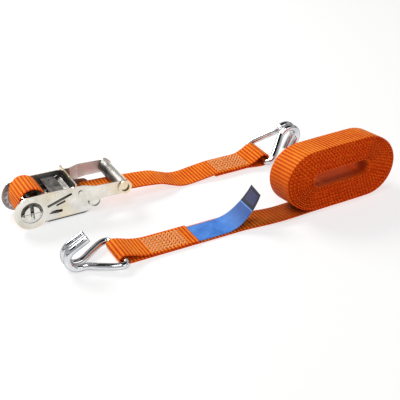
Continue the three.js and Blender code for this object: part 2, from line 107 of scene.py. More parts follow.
# ---- node helpers ----
class Shader:
    """A material's node tree, with one short call for each kind of node."""

    def __init__(self, name):
        self.material = bpy.data.materials.new(name)
        self.material.use_nodes = True
        self.tree = self.material.node_tree
        self.tree.nodes.clear()
        self.output = self.node("ShaderNodeOutputMaterial")
        self.surface = self.node("ShaderNodeBsdfPrincipled")
        self.link(self.surface.outputs[0], self.output.inputs["Surface"])

    def node(self, kind, **settings):
        made = self.tree.nodes.new(kind)
        for key, value in settings.items():
            setattr(made, key, value)
        return made

    def link(self, source, target):
        if isinstance(source, (int, float, tuple, list)):
            target.default_value = source
        else:
            self.tree.links.new(source, target)

    def math(self, operation, a, b=0.0, c=0.0):
        made = self.node("ShaderNodeMath", operation=operation)
        for socket, value in zip(made.inputs, (a, b, c)):
            self.link(value, socket)
        return made.outputs[0]

    def mix(self, factor, a, b):
        made = self.node("ShaderNodeMix", data_type="RGBA")
        self.link(factor, made.inputs["Factor"])
        self.link(a, made.inputs[6])
        self.link(b, made.inputs[7])
        return made.outputs[2]

    def noise(self, vector, scale, detail=3.0, roughness=0.5):
        made = self.node("ShaderNodeTexNoise")
        self.link(vector, made.inputs["Vector"])
        made.inputs["Scale"].default_value = scale
        made.inputs["Detail"].default_value = detail
        made.inputs["Roughness"].default_value = roughness
        return made.outputs["Fac"]

    def stretch(self, vector, scale):
        made = self.node("ShaderNodeMapping")
        self.link(vector, made.inputs["Vector"])
        made.inputs["Scale"].default_value = scale
        return made.outputs[0]

    def ramp(self, factor, *stops):
        made = self.node("ShaderNodeValToRGB")
        self.link(factor, made.inputs[0])
        elements = made.color_ramp.elements
        while len(elements) < len(stops):
            elements.new(0.5)
        for element, (position, colour) in zip(elements, stops):
            element.position = position
            element.color = colour if len(colour) == 4 else (*colour, 1)
        return made.outputs[0]

    def range(self, value, low, high, to_low, to_high):
        made = self.node("ShaderNodeMapRange")
        for socket, number in zip(made.inputs, (value, low, high, to_low, to_high)):
            self.link(number, socket)
        return made.outputs[0]

    def bump(self, height, distance, strength=1.0, normal=None):
        made = self.node("ShaderNodeBump")
        self.link(height, made.inputs["Height"])
        made.inputs["Distance"].default_value = distance
        made.inputs["Strength"].default_value = strength
        if normal is not None:
            self.link(normal, made.inputs["Normal"])
        return made.outputs[0]

    def set(self, **inputs):
        for key, value in inputs.items():
            self.link(value, self.surface.inputs[key.replace("_", " ").title()])

    def coordinates(self):
        return self.node("ShaderNodeTexCoord").outputs["Object"]

    def split(self, vector):
        made = self.node("ShaderNodeSeparateXYZ")
        self.link(vector, made.inputs[0])
        return made.outputs

    def height(self):
        """Height above the floor at rest, in metres."""
        return self.split(self.coordinates())[2]

    def weave_coordinates(self):
        """Length along and across a strip, in metres."""
        parts = self.split(self.node("ShaderNodeUVMap", uv_map="weave").outputs[0])
        return parts[0], parts[1]


# ---- materials ----
RIB_PITCH = 5.6
YARN_PITCH = 1.15
SELVEDGE_FROM = 23.8
SELVEDGE_FULL = 24.6


def weave_heights(s, along, across):
    """Heights, from 0 to 1, of the ribs' crowns and of the slanting yarns that make them up."""
    rib = s.math("MULTIPLY", along, math.pi / (RIB_PITCH * MM))
    crown = s.math("ABSOLUTE", s.math("SINE", rib))
    rib_number = s.math("FLOOR", s.math("DIVIDE", along, RIB_PITCH * MM))
    shifted = s.math("ADD", across, s.math("MULTIPLY", rib_number, YARN_PITCH * MM * 0.5))
    lean = s.math("ADD", shifted, s.math("MULTIPLY", along, 0.22))
    yarn = s.math("ABSOLUTE", s.math("SINE", s.math("MULTIPLY", lean, math.pi / (YARN_PITCH * MM))))
    return crown, yarn


def shade_coil(s, face, along, across, inner_from, under):
    """Shade that the wound strap throws on itself, by lengths along it in metres: deep in the coil's hole,
    past inner_from, on the stretch under, where it runs in below the coil, and on the coil's lower half."""
    wound_from = under[1] + 0.07
    deep = s.range(across, -0.023, -0.008, 0.1, 1.0)
    in_hole = s.math("MULTIPLY", s.math("GREATER_THAN", along, inner_from), deep)
    face = s.mix(in_hole, face, s.mix(0.85, face, (0.1, 0.01, 0.002, 1)))
    flat = s.math("LESS_THAN", along, wound_from)
    below = s.math("MULTIPLY", s.range(along, *under, 0.0, 0.75), flat)
    face = s.mix(below, face, (0.2, 0.02, 0.002, 1))
    wound = s.math("GREATER_THAN", along, wound_from)
    low = s.math("MULTIPLY", s.range(s.height(), 0.045, 0.1, 0.75, 0.0), wound)
    return s.mix(low, face, (0.55, 0.05, 0.002, 1))


def webbing_material(name="webbing", shade=None):
    """Ribbed orange webbing. shade holds what shade_coil asks for, where the strap is wound."""
    s = Shader(name)
    along, across = s.weave_coordinates()
    crown, yarn = weave_heights(s, along, across)
    where = s.coordinates()
    fibre = s.noise(where, 900, 2, 0.6)
    patch = s.noise(where, 26, 3, 0.55)
    # Painted highlight and shade: the colour runs from dark red in the rib valleys to yellow-orange on the
    # rib crowns.
    tone = s.math("ADD", s.math("MULTIPLY", crown, 0.62), s.math("MULTIPLY", yarn, 0.2))
    tone = s.math("ADD", tone, s.range(patch, 0.3, 0.7, -0.06, 0.14))
    tone = s.math("ADD", tone, s.range(fibre, 0.3, 0.7, -0.07, 0.07))
    face = s.ramp(
        tone,
        (0.0, (0.16, 0.006, 0.0008)),
        (0.32, (0.6, 0.045, 0.002)),
        (0.62, (0.95, 0.18, 0.008)),
        (1.0, (1.0, 0.38, 0.035)),
    )
    if shade:
        face = shade_coil(s, face, along, across, **shade)
    # Painted shade: the strip's edges, which make up the coil's sides, are a darker red than its faces,
    # mottled at random.
    fray = s.range(s.noise(where, 330, 3, 0.7), 0.35, 0.65, 0.0, 0.5)
    edge = s.ramp(
        s.math("ADD", s.math("MULTIPLY", crown, 0.45), fray),
        (0.0, (0.22, 0.008, 0.001)),
        (0.45, (0.64, 0.034, 0.002)),
        (1.0, (1.0, 0.16, 0.01)),
    )
    selvedge = s.range(s.math("ABSOLUTE", across), SELVEDGE_FROM * MM, SELVEDGE_FULL * MM, 0.0, 1.0)
    relief = s.bump(s.math("ADD", yarn, s.math("MULTIPLY", fibre, 0.5)), 0.00022, 0.8)
    roughness = s.range(fibre, 0.3, 0.7, 0.48, 0.62)
    s.set(base_color=s.mix(selvedge, face, edge), roughness=roughness, normal=relief)
    s.surface.inputs["Specular IOR Level"].default_value = 0.07
    s.surface.inputs["Specular Tint"].default_value = (1.0, 0.6, 0.25, 1)
    s.surface.inputs["Sheen Weight"].default_value = 0.12
    s.surface.inputs["Sheen Roughness"].default_value = 0.4
    s.surface.inputs["Sheen Tint"].default_value = (1.0, 0.5, 0.12, 1)
    return s.material


def thread_material():
    s = Shader("sewing_thread")
    along, across = s.weave_coordinates()
    ply = s.math("SINE", s.math("MULTIPLY", s.math("ADD", along, across), 2 * math.pi / 0.0009))
    fibre = s.noise(s.coordinates(), 1500, 2)
    colour = s.mix(s.range(fibre, 0.3, 0.7, 0.0, 1.0), (1.0, 0.45, 0.12, 1), (1.0, 0.72, 0.36, 1))
    s.set(base_color=colour, roughness=s.range(fibre, 0.3, 0.7, 0.4, 0.6), normal=s.bump(ply, 0.0001, 0.6))
    return s.material


LABEL_END = 27.0
LABEL_RIM = 5.0
LABEL_RIM_SIDE = 15.5
LABEL_YARN = 0.7


def label_material(length):
    """A coated blue label, made deeper blue by painted shade where it curls up, with a dark, rimmed patch at
    its end.
    """
    s = Shader("label")
    along, across = s.weave_coordinates()
    where = s.coordinates()
    cloud = s.noise(where, 45, 3, 0.6)
    grain = s.noise(where, 1400, 2, 0.5)
    blue = s.ramp(
        cloud,
        (0.25, (0.034, 0.15, 0.54)),
        (0.5, (0.065, 0.245, 0.76)),
        (0.75, (0.11, 0.34, 0.9)),
    )
    # Painted shade: deeper blue where the label curls up.
    blue = s.mix(s.range(along, 0.055, 0.088, 0.0, 0.9), blue, (0.018, 0.085, 0.33, 1))
    seam = s.math("COMPARE", along, length - (LABEL_END + 1.6) * MM, 0.0005)
    blue = s.mix(seam, blue, (0.2, 0.38, 0.75, 1))
    rim = s.math("GREATER_THAN", s.math("ABSOLUTE", across), LABEL_RIM_SIDE * MM)
    rim = s.math("MAXIMUM", rim, s.math("GREATER_THAN", along, length - LABEL_RIM * MM))
    rim = s.math("MAXIMUM", rim, s.math("LESS_THAN", along, length - (LABEL_END - LABEL_RIM) * MM))
    dark = s.mix(rim, (0.035, 0.042, 0.12, 1), (0.008, 0.012, 0.03, 1))
    colour = s.mix(s.math("GREATER_THAN", along, length - LABEL_END * MM), blue, dark)
    turn = 2 * math.pi / (LABEL_YARN * MM)
    weave = s.math(
        "MULTIPLY",
        s.math("SINE", s.math("MULTIPLY", along, turn)),
        s.math("SINE", s.math("MULTIPLY", across, turn)),
    )
    relief = s.bump(s.math("ADD", weave, grain), 0.00006, 0.7, s.bump(cloud, 0.0012, 0.35))
    s.set(base_color=colour, roughness=s.range(grain, 0.3, 0.7, 0.36, 0.52), normal=relief)
    s.surface.inputs["Specular IOR Level"].default_value = 0.22
    return s.material


def steel_material(
    name, light, dark, roughness, tint=None, foot_shade=None, lit_below=None,
    rim=1.0, scratches=0.35, relief=0.0002,
):
    """Plated steel: cloudy tone, patches of duller plating, fine scratches and small dents. A tint is laid on
    in large patches as a painted warm highlight. The foot is a lower edge of painted shade: the height up to
    which it is darkest, the height where it ends, and its grey. Below a given height the steel is painted
    bright, as a painted lit part, and rim is the share of light that its outline reflects."""
    s = Shader(name)
    where = s.coordinates()
    cloud = s.noise(where, 38, 4, 0.55)
    patch = s.noise(where, 130, 3, 0.6)
    streak = s.noise(s.stretch(where, (0.12, 1.0, 1.0)), 1900, 2, 0.4)
    cross = s.noise(s.stretch(where, (1.0, 1.0, 0.1)), 1500, 2, 0.4)
    colour = s.mix(s.range(cloud, 0.36, 0.64, 0.0, 1.0), (*light, 1), (*dark, 1))
    # Painted highlight: warm patches of the tint laid over the plating.
    if tint:
        painted_highlight = s.noise(s.stretch(where, (1.0, 1.0, 0.6)), 17, 2, 0.4)
        colour = s.mix(s.range(painted_highlight, 0.5, 0.62, 0.0, 0.85), colour, (*tint, 1))
    # Painted light: the steel turns bright below a given height, along a ragged line.
    if lit_below:
        ragged = s.range(s.noise(where, 220, 3, 0.6), 0.3, 0.7, -0.009, 0.009)
        lit_share = s.range(s.math("ADD", s.height(), ragged), lit_below - 0.003, lit_below - 0.001, 1.0, 0.0)
        colour = s.mix(lit_share, colour, (0.75, 0.74, 0.7, 1))
    # Painted shade: darker grey along the lower edge, near the floor.
    if foot_shade:
        lowest, full, grey = foot_shade
        colour = s.mix(s.range(s.height(), lowest, full, 0.0, 1.0), (grey, grey, grey, 1), colour)
    scratch = s.math("MAXIMUM", s.range(streak, 0.66, 0.72, 0.0, 1.0), s.range(cross, 0.68, 0.74, 0.0, 1.0))
    dull = s.math("ADD", s.range(patch, 0.35, 0.7, *roughness), s.math("MULTIPLY", scratch, 0.12))
    dents = s.bump(cloud, relief * 6, 0.25)
    fine = s.bump(s.math("ADD", patch, s.math("MULTIPLY", scratch, scratches)), relief, 0.5, dents)
    s.set(base_color=colour, roughness=dull, normal=fine)
    s.surface.inputs["Metallic"].default_value = 1.0
    s.surface.inputs["Specular Tint"].default_value = (rim, rim, rim, 1)
    return s.material


MATERIALS = {
    "webbing": webbing_material(),
    "thread": thread_material(),
    # zinc and plate take their tint as painted warm highlights, and plate has painted shade along its foot.
    "zinc": steel_material(
        "zinc_steel", (0.88, 0.86, 0.8), (0.7, 0.67, 0.58), (0.1, 0.28), tint=(0.85, 0.69, 0.43),
    ),
    "plate": steel_material(
        "plate_steel", (0.9, 0.88, 0.84), (0.72, 0.7, 0.66), (0.1, 0.3), tint=(0.9, 0.78, 0.56),
        foot_shade=(0.0034, 0.0052, 0.05),
    ),
    "shade": steel_material("shaded_steel", (0.42, 0.41, 0.42), (0.26, 0.25, 0.26), (0.4, 0.55)),
    # Painted shade: a greyer, bluish copy of the plating for the far wheel's inner face.
    "disc": steel_material("shaded_disc_steel", (0.7, 0.72, 0.76), (0.52, 0.54, 0.58), (0.45, 0.6)),
    # Painted reflection: a lighter, pinkish, rougher copy of the plating for the far arm's inner face past
    # its jog.
    "satin_and_reflection": steel_material("satin_and_reflection_steel", (0.92, 0.87, 0.88), (0.82, 0.76, 0.77), (0.55, 0.7)),
    # Painted shade: a dark copy of the steel for parts and faces where shade falls inside the ratchet and in
    # recesses.
    "inner": steel_material(
        "inner_shade_steel", (0.2, 0.19, 0.18), (0.05, 0.048, 0.045), (0.25, 0.5), relief=0.0004,
    ),
    # Painted shade in the wheels' hubs, dark above a given height and painted bright below it.
    "hub": steel_material(
        "hub_shade_steel", (0.16, 0.15, 0.14), (0.05, 0.048, 0.045), (0.1, 0.3), lit_below=0.024, relief=0.0003,
    ),
    # Painted shade near the floor along the hook's lower side.
    "hook": steel_material(
        "hook_steel", (0.8, 0.81, 0.83), (0.62, 0.63, 0.66), (0.05, 0.14), foot_shade=(0.0008, 0.0042, 0.2),
        rim=0.2, scratches=0.15, relief=0.00005,
    ),
    "spring": steel_material(
        "spring_steel", (0.45, 0.45, 0.45), (0.25, 0.25, 0.26), (0.15, 0.3), relief=0.00012,
    ),
}


# ---- mesh helpers ----
def place(points):
    """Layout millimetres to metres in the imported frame."""
    return np.asarray(points, float) * MM + LAYOUT


def make_mesh(name, points, faces, uv=None):
    mesh = bpy.data.meshes.new(name)
    mesh.from_pydata([tuple(p) for p in place(points)], [], faces)
    if uv is not None:
        layer = mesh.uv_layers.new(name="weave")
        corners = np.zeros(len(mesh.loops), int)
        mesh.loops.foreach_get("vertex_index", corners)
        layer.data.foreach_set("uv", (np.asarray(uv, float) * MM)[corners].ravel())
    mesh.polygons.foreach_set("use_smooth", [True] * len(mesh.polygons))
    mesh.update()
    return mesh


def piece(name, mesh, material, body, nodes=()):
    made = bpy.data.objects.new(name, mesh)
    bpy.context.scene.collection.objects.link(made)
    mesh.materials.clear()
    mesh.materials.append(MATERIALS[material] if isinstance(material, str) else material)
    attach(made, body)
    if nodes:
        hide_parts(*nodes)
    return made


def tube_faces(rings, sides):
    """The faces of a tube whose points come ring by ring, closed at both ends."""
    faces = []
    for i in range(rings - 1):
        for j in range(sides):
            k = (j + 1) % sides
            faces.append((i * sides + j, i * sides + k, (i + 1) * sides + k, (i + 1) * sides + j))
    faces.append(tuple(reversed(range(sides))))
    faces.append(tuple(range((rings - 1) * sides, rings * sides)))
    return faces


def smooth_line(points, step):
    """A centripetal Catmull-Rom line through the points, sampled at even steps."""
    p = np.asarray(points, float)
    p = np.vstack([2 * p[0] - p[1], p, 2 * p[-1] - p[-2]])
    out = []
    for p0, p1, p2, p3 in zip(p[:-3], p[1:-2], p[2:-1], p[3:]):
        t0 = 0.0
        t1 = t0 + max(np.linalg.norm(p1 - p0), 1e-9) ** 0.5
        t2 = t1 + max(np.linalg.norm(p2 - p1), 1e-9) ** 0.5
        t3 = t2 + max(np.linalg.norm(p3 - p2), 1e-9) ** 0.5
        t = np.linspace(t1, t2, 40, endpoint=False)[:, None]
        a1 = (t1 - t) / (t1 - t0) * p0 + (t - t0) / (t1 - t0) * p1
        a2 = (t2 - t) / (t2 - t1) * p1 + (t - t1) / (t2 - t1) * p2
        a3 = (t3 - t) / (t3 - t2) * p2 + (t - t2) / (t3 - t2) * p3
        b1 = (t2 - t) / (t2 - t0) * a1 + (t - t0) / (t2 - t0) * a2
        b2 = (t3 - t) / (t3 - t1) * a2 + (t - t1) / (t3 - t1) * a3
        out.append((t2 - t) / (t2 - t1) * b1 + (t - t1) / (t2 - t1) * b2)
    out.append(p[-2][None])
    return even_steps(np.vstack(out), step)


def lengths_along(line):
    return np.concatenate([[0], np.cumsum(np.linalg.norm(np.diff(line, axis=0), axis=1))])


def even_steps(line, step):
    s = lengths_along(line)
    at = np.linspace(0, s[-1], max(2, int(round(s[-1] / step)) + 1))
    return np.column_stack([np.interp(at, s, line[:, k]) for k in range(line.shape[1])])


def sweep(line, radius, sides=24, ends=None):
    """A tube along a line in space. ends are (distance from either end, share of the radius) pairs."""
    s = lengths_along(line)
    scale = np.ones(len(line))
    if ends:
        distance = np.minimum(s, s[-1] - s)
        scale = np.interp(distance, [d for d, _ in ends], [r for _, r in ends])
    tangent = np.gradient(line, axis=0)
    tangent /= np.linalg.norm(tangent, axis=1)[:, None]
    side = np.cross(tangent[0], [0.31, 0.22, 0.92])
    side /= np.linalg.norm(side)
    angles = np.arange(sides) * 2 * math.pi / sides
    rings = []
    for point, direction, share in zip(line, tangent, scale):
        side = side - direction * side.dot(direction)
        side /= np.linalg.norm(side)
        up = np.cross(direction, side)
        circle = np.outer(np.cos(angles), side) + np.outer(np.sin(angles), up)
        rings.append(point + circle * radius * share)
    return np.vstack(rings), tube_faces(len(line), sides)


# ---- webbing ----
WEB_WIDTH = 50.0
WEB_THICK = 2.8
HALF = WEB_THICK / 2
PLY = WEB_THICK + GAP
RIB_DEPTH = 0.5
STEP = RIB_PITCH / 10
SELVEDGE = (1.0, 0.992, 0.972, 0.93, 0.8, 0.5, 0.2)


def around(x, z, radius, start, end, count):
    """Points along an arc."""
    return [
        (x + radius * math.cos(a), z + radius * math.sin(a))
        for a in np.linspace(start, end, count + 1)
    ]


def lean_back(points, share):
    """Leans and turns points about the coil's middle, by a share of the coil's own lean and turn."""
    x, y, z = (points - COIL_AT).T
    lean, yaw = COIL_LEAN * share, COIL_YAW * share
    y, z = y * np.cos(lean) + z * np.sin(lean), z * np.cos(lean) - y * np.sin(lean)
    x, y = x * np.cos(yaw) - y * np.sin(yaw), x * np.sin(yaw) + y * np.cos(yaw)
    return COIL_AT + np.column_stack([x, y, z])


def ribbon(
    name, line, y, width=WEB_WIDTH, thick=WEB_THICK, depth=RIB_DEPTH, drift=None, roll=None, lean=None,
):
    """A closed strip along a line in X and Z. Its ribs run across, and its edges are rounded and scalloped.
    drift moves each place along Y, roll turns it about the line, and lean is its share of the coil's lean."""
    s = lengths_along(line)
    tangent = np.gradient(line, axis=0)
    tangent /= np.linalg.norm(tangent, axis=1)[:, None]
    normal = np.column_stack([-tangent[:, 1], tangent[:, 0]])
    crown = np.abs(np.sin(math.pi * s / RIB_PITCH)) ** 0.7
    across = np.array([-v for v in SELVEDGE] + [0.0] + list(reversed(SELVEDGE)))
    edge = (1 - np.abs(across) ** 22) ** 0.5
    edge[0] = edge[-1] = 0
    half_thick = thick / 2 - depth * (1 - crown)
    reach = width / 2 - 0.35 * depth * (1 - crown) / max(RIB_DEPTH, 1e-9)
    drift = np.zeros(len(line)) if drift is None else drift
    roll = np.zeros(len(line)) if roll is None else roll
    points, uv = [], []
    count = len(across)
    for sign, columns in ((1, range(count)), (-1, range(count - 2, 0, -1))):
        for j in columns:
            v = across[j] * reach
            h = sign * edge[j] * half_thick
            lift = np.cos(roll) * h + np.sin(roll) * v
            out = np.cos(roll) * v - np.sin(roll) * h
            column = np.column_stack([
                line[:, 0] + normal[:, 0] * lift,
                y + drift + out,
                line[:, 1] + normal[:, 1] * lift,
            ])
            points.append(column if lean is None else lean_back(column, lean))
            uv.append(np.column_stack([s, np.full(len(line), across[j] * width / 2)]))
    sides = len(points)
    stacked = np.stack(points, axis=1).reshape(-1, 3)
    return make_mesh(name, stacked, tube_faces(len(line), sides), np.stack(uv, axis=1).reshape(-1, 2))


STITCH_ROWS = np.linspace(-16.5, 16.5, 6)
STITCH_SWING = 3.4
STITCH_PITCH = 6.2
STITCH_ARCH = 0.4
THREAD_R = 0.55


def stitches(name, line, y, first, last, face=1):
    """Zigzag rows of arched thread on one face of a strip, between two lengths along it."""
    s = lengths_along(line)
    tangent = np.gradient(line, axis=0)
    tangent /= np.linalg.norm(tangent, axis=1)[:, None]
    sides, rings = 6, 6
    t = np.linspace(0, 1, rings)
    rise = face * (WEB_THICK / 2 + STITCH_ARCH * np.sin(math.pi * t) - 0.1)
    points, faces, uv = [], [], []
    for row in STITCH_ROWS:
        turns = np.arange(first, last, STITCH_PITCH / 2)
        for i, (a, b) in enumerate(zip(turns[:-1], turns[1:])):
            swing = STITCH_SWING if i % 2 else -STITCH_SWING
            along = a + (b - a) * t
            x = np.interp(along, s, line[:, 0]) - np.interp(along, s, tangent[:, 1]) * rise
            z = np.interp(along, s, line[:, 1]) + np.interp(along, s, tangent[:, 0]) * rise
            path = np.column_stack([x, y + row + swing * (1 - 2 * t), z])
            tube, quads = sweep(path, THREAD_R, sides, [(0, 0.55), (0.8, 1.0)])
            base = len(points) * sides * rings
            points.append(tube)
            faces += [tuple(base + corner for corner in quad) for quad in quads]
            uv.append(np.column_stack([np.repeat(along, sides), np.tile(np.arange(sides) * 0.4, rings)]))
    return make_mesh(name, np.vstack(points), faces, np.vstack(uv))


# Heights from the spindle: the strap's middle on the ratchet's floor and over the tie bolt.
FLOOR_TOP = -23.4
TIE_AT = (101.0, -8.0)
TIE_R = 5.0
ON_FLOOR = FLOOR_TOP + GAP + HALF
OVER_BOLT = TIE_AT[1] + TIE_R + GAP + HALF + 0.1
SEWN = 62.0


def from_spindle(points):
    return [(SPINDLE[0] + x, SPINDLE[2] + z) for x, z in points]


def short_strap():
    in_ratchet = [
        (34, ON_FLOOR), (52, ON_FLOOR), (72, ON_FLOOR + 1.5), (86, ON_FLOOR + 9.5),
        (TIE_AT[0] - 4, OVER_BOLT - 0.6), (TIE_AT[0] + 2, OVER_BOLT + 0.1), (116, OVER_BOLT - 0.7),
    ]
    points = from_spindle(in_ratchet) + [
        (-113, 23.6), (-95, 21.8), (-66, 19.4), (-42, 16), (-25, 9.5), (-8, 3.6), (8, 2.4), (30, 4.6),
        (60, 7.6), (95, 7.7), (118, 8.2), (134, 14.5), (142, 19.4),
        *around(148.8, 11.2, 9.4, math.pi / 2, -math.pi / 2, 6),
        (141, 1.9), (128, 3.4), (116, 4.9), (95, 7.7 - PLY), (70, 7.7 - PLY), (56, 7.3 - PLY),
    ]
    line = smooth_line(points, STEP)
    mesh = ribbon("short_webbing", line, SPINDLE[1])
    strap = piece("short_webbing", mesh, "webbing", "frame", ["short_strap", "short_strap_loop"])
    s = lengths_along(line)
    upper = s[: len(s) * 3 // 4]
    first = float(np.interp(62, line[: len(upper), 0], upper))
    sewn = stitches("short_stitching", line, SPINDLE[1], first, first + SEWN)
    sewn = piece("short_stitching", sewn, "thread", "frame")


def strap_tail():
    points = from_spindle([
        (33.6, ON_FLOOR), (16, ON_FLOOR), (1, ON_FLOOR + 0.8), (-10.5, -14), (-15.6, -4), (-16, 10),
        (-12.6, 24), (-3, 33), (8, 34.4), (18, 30), (25, 21), (27, 14),
    ])
    line = smooth_line(points, STEP)
    mesh = ribbon("webbing_tail", line, SPINDLE[1])
    tail = piece("webbing_tail", mesh, "webbing", "frame", ["strap_tail"])
    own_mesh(tail)


def coil_line():
    """The wound stretch, from under the coil's left end, anticlockwise seen from the near side."""
    keys = ("half", "end_x", "end_z")
    outer = np.array([COIL_OUTER[k] for k in keys]) - [0, HALF, HALF]
    inner = np.array([COIL_INNER[k] for k in keys]) + [0, HALF, HALF]
    share = np.arange(60) / 60
    total = []
    for quarter in range(COIL_TURNS * 4):
        half, end_x, end_z = (outer + ((quarter + share) / (COIL_TURNS * 4))[:, None] * (inner - outer)).T
        kind = quarter % 4
        if kind == 0:
            part = [-half + 2 * half * share, -end_z]
        elif kind == 2:
            part = [half - 2 * half * share, end_z]
        else:
            side = 1 if kind == 1 else -1
            angle = math.pi * (share - 0.5)
            part = [side * (half + end_x * np.cos(angle)), side * end_z * np.sin(angle)]
        total.append(np.column_stack(part))
    return np.vstack(total) + COIL_AT[[0, 2]]


def ease(value, first, last):
    share = np.clip((value - first) / (last - first), 0, 1)
    return share * share * (3 - 2 * share)


RISE_TO_COIL = (10.0, 99.0)
WOUND = {"thick": 2.54, "depth": 0.36}
SHUT_IN = 230.0


def long_strap():
    bar_x, _, bar_z = FRONT_BAR["at"]
    points = [
        (-60, HALF + PLY), (-110, HALF + PLY), (-135, HALF + PLY + 0.7), (-152, HALF + PLY + 4.1),
        (-168, HALF + PLY + 9.7),
        *around(bar_x, bar_z, WIRE_R + LOOP_GAP + HALF, math.pi / 2, 1.5 * math.pi, 8),
        (bar_x + 1, HALF), (-150, HALF), (-60, HALF), (40, HALF), (100, HALF),
    ]
    flat = smooth_line(points, 1.0)
    flat[:, 1] += (COIL_AT[2] - COIL_OUTER["end_z"]) * ease(flat[:, 0], *RISE_TO_COIL)
    laid = float(lengths_along(flat)[-1])
    line = even_steps(np.vstack([flat, coil_line()]), STEP * 1.2)
    s = lengths_along(line)
    length = float(s[-1])
    lean = np.where(s < laid, ease(line[:, 0], *RISE_TO_COIL), 1.0)
    wander = 0.6 * np.sin(s / 61.0) + 0.45 * np.sin(s / 23.7 + 1.3) + 0.55 * np.sin(s / 137.0 + 0.4)
    drift = lean * (COIL_AT[1] - LONG_Y + wander)
    mesh = ribbon("long_webbing", line, LONG_Y, drift=drift, lean=lean, **WOUND)
    shade = {"inner_from": (length - SHUT_IN) * MM, "under": ((laid - 90) * MM, (laid - 20) * MM)}
    material = webbing_material("wound_webbing", shade)
    strap = piece("long_webbing", mesh, material, "long_strap", ["long_strap", "strap_coil"])
    sewn = stitches("long_stitching", line, LONG_Y - 1.5, 17, 17 + SEWN, face=-1)
    sewn = piece("long_stitching", sewn, "thread", "long_strap")


LABEL_WIDTH = 43.0
LABEL_THICK = 0.7


def label():
    rest = WEB_THICK + GAP + 0.45
    points = [
        (-59.4, rest), (-30, rest), (-8, rest + 0.6), (8, 8.5), (22, 17.5), (34, 29), (43, 41), (48, 50),
    ]
    line = smooth_line(points, 1.0)
    s = lengths_along(line)
    length = float(s[-1]) * MM
    curled = np.clip((s / s[-1] - 0.42) / 0.58, 0, 1)
    roll = -math.radians(14) * curled ** 1.3
    mesh = ribbon("blue_label", line, LONG_Y - 1, LABEL_WIDTH, LABEL_THICK, 0.0, roll=roll)
    made = piece("blue_label", mesh, label_material(length), "long_strap", ["label"])


# ---- claw hooks ----
BAR_HALF = 35.0
CORNER = 12.0
ARM = 60.0
CLAW_HALF = 7.3
BEND_R = 17.0
TURN = math.radians(156)
PRONG = 26.0


def hook_side(sign):
    """Half of the wire's points in the hook's own axes, from the claw's tip to the bar in the loop."""
    end_x = ARM + BEND_R * math.sin(TURN)
    end_z = BEND_R * (1 - math.cos(TURN))
    tip = (end_x + PRONG * math.cos(TURN), end_z + PRONG * math.sin(TURN))
    points = [
        (tip[0], sign * CLAW_HALF, tip[1]),
        ((tip[0] + end_x) / 2, sign * CLAW_HALF, (tip[1] + end_z) / 2),
    ]
    for i in range(7, -1, -1):
        turn = TURN * i / 7
        points.append((ARM + BEND_R * math.sin(turn), sign * CLAW_HALF, BEND_R * (1 - math.cos(turn))))
    return points + [
        (ARM - 8, sign * (CLAW_HALF + 1.2), 0),
        (CORNER + 22, sign * (BAR_HALF - 14.5), 0),
        (CORNER, sign * (BAR_HALF - 1.2), 0),
        (CORNER * 0.3, sign * (BAR_HALF - 1), 0),
        (CORNER * 0.02, sign * (BAR_HALF - CORNER * 0.55), 0),
        (0, sign * (BAR_HALF - CORNER), 0),
    ]


def claw_hook(name, bar, flip, body, node):
    """One bent wire. flip turns the hook's own axes so that its arms and claws point the way they lie."""
    points = hook_side(-1) + [(0, 0, 0)] + hook_side(1)[::-1]
    line = smooth_line(points, 1.6)
    tilt = bar["tilt"]
    x, y, z = line.T * np.array(flip)[:, None]
    turned_x = x * math.cos(tilt) - z * math.sin(tilt)
    turned_z = x * math.sin(tilt) + z * math.cos(tilt)
    lying = np.column_stack([turned_x, y, turned_z]) + np.array(bar["at"])
    tube, faces = sweep(lying, WIRE_R, 32, [(0, 0.82), (0.9, 0.97), (1.9, 1.0)])
    return piece(name, make_mesh(name, tube, faces), "hook", body, [node])


# ---- pawl springs ----
SPRING_R = 2.6
SPRING_WIRE = 0.55
SPRING_TURNS = 6


def pawl_spring(name, node, slot, span, body):
    """A coil spring along a pawl's slot, closer wound at its ends."""
    x, z, slope = slot
    start = SPINDLE + np.array([x, 0, z])
    along = np.array([math.cos(slope), 0, math.sin(slope)])
    up = np.array([-math.sin(slope), 0, math.cos(slope)])
    length = span[1] - span[0]
    share = np.linspace(0, 1, SPRING_TURNS * 24 + 1)
    angle = share * SPRING_TURNS * 2 * math.pi
    reach = span[0] + length * (share - 0.055 * np.sin(share * 2 * math.pi))
    turned = np.outer(np.cos(angle), [0, 1, 0]) + np.outer(np.sin(angle), up)
    tube, faces = sweep(start + np.outer(reach, along) + SPRING_R * turned, SPRING_WIRE, 10)
    made = piece(name, make_mesh(name, tube, faces), "spring", body, [node])
    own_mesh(made)


# ---- dark slot of the near arm ----
SLOT_START = np.array([39.7, 3.0])
SLOT_END = np.array([51.5, 6.3])
SLOT_HALF = 1.7


def arm_slot():
    """The small dark slot below the pawl's slot, dark with painted shade: a thin filled recess inside a low
    rim, on the arm's face.
    """
    along = (SLOT_END - SLOT_START) / np.linalg.norm(SLOT_END - SLOT_START)
    up = np.array([-along[1], along[0]])
    arc = [along * math.cos(a) + up * math.sin(a) for a in np.linspace(-math.pi / 2, math.pi / 2, 12)]
    ring = [(SLOT_END + SLOT_HALF * v, v.dot(up)) for v in arc]
    ring += [(SLOT_START - SLOT_HALF * v, -v.dot(up)) for v in arc]
    points = []
    for y, share in ((0.2, 1.0), (-0.08, 1.0), (-0.08, 0.72), (-0.02, 0.66)):
        for point, height in ring:
            x, z = point - (1 - share) * SLOT_HALF * up * np.sign(height)
            points.append((x, ARM_FACE + y, z))
    mesh = make_mesh("arm_slot", np.array(points) + SPINDLE, tube_faces(4, len(ring)))
    mesh.polygons.foreach_set("use_smooth", [False] * len(mesh.polygons))
    piece("arm_slot", mesh, "inner", "handle")


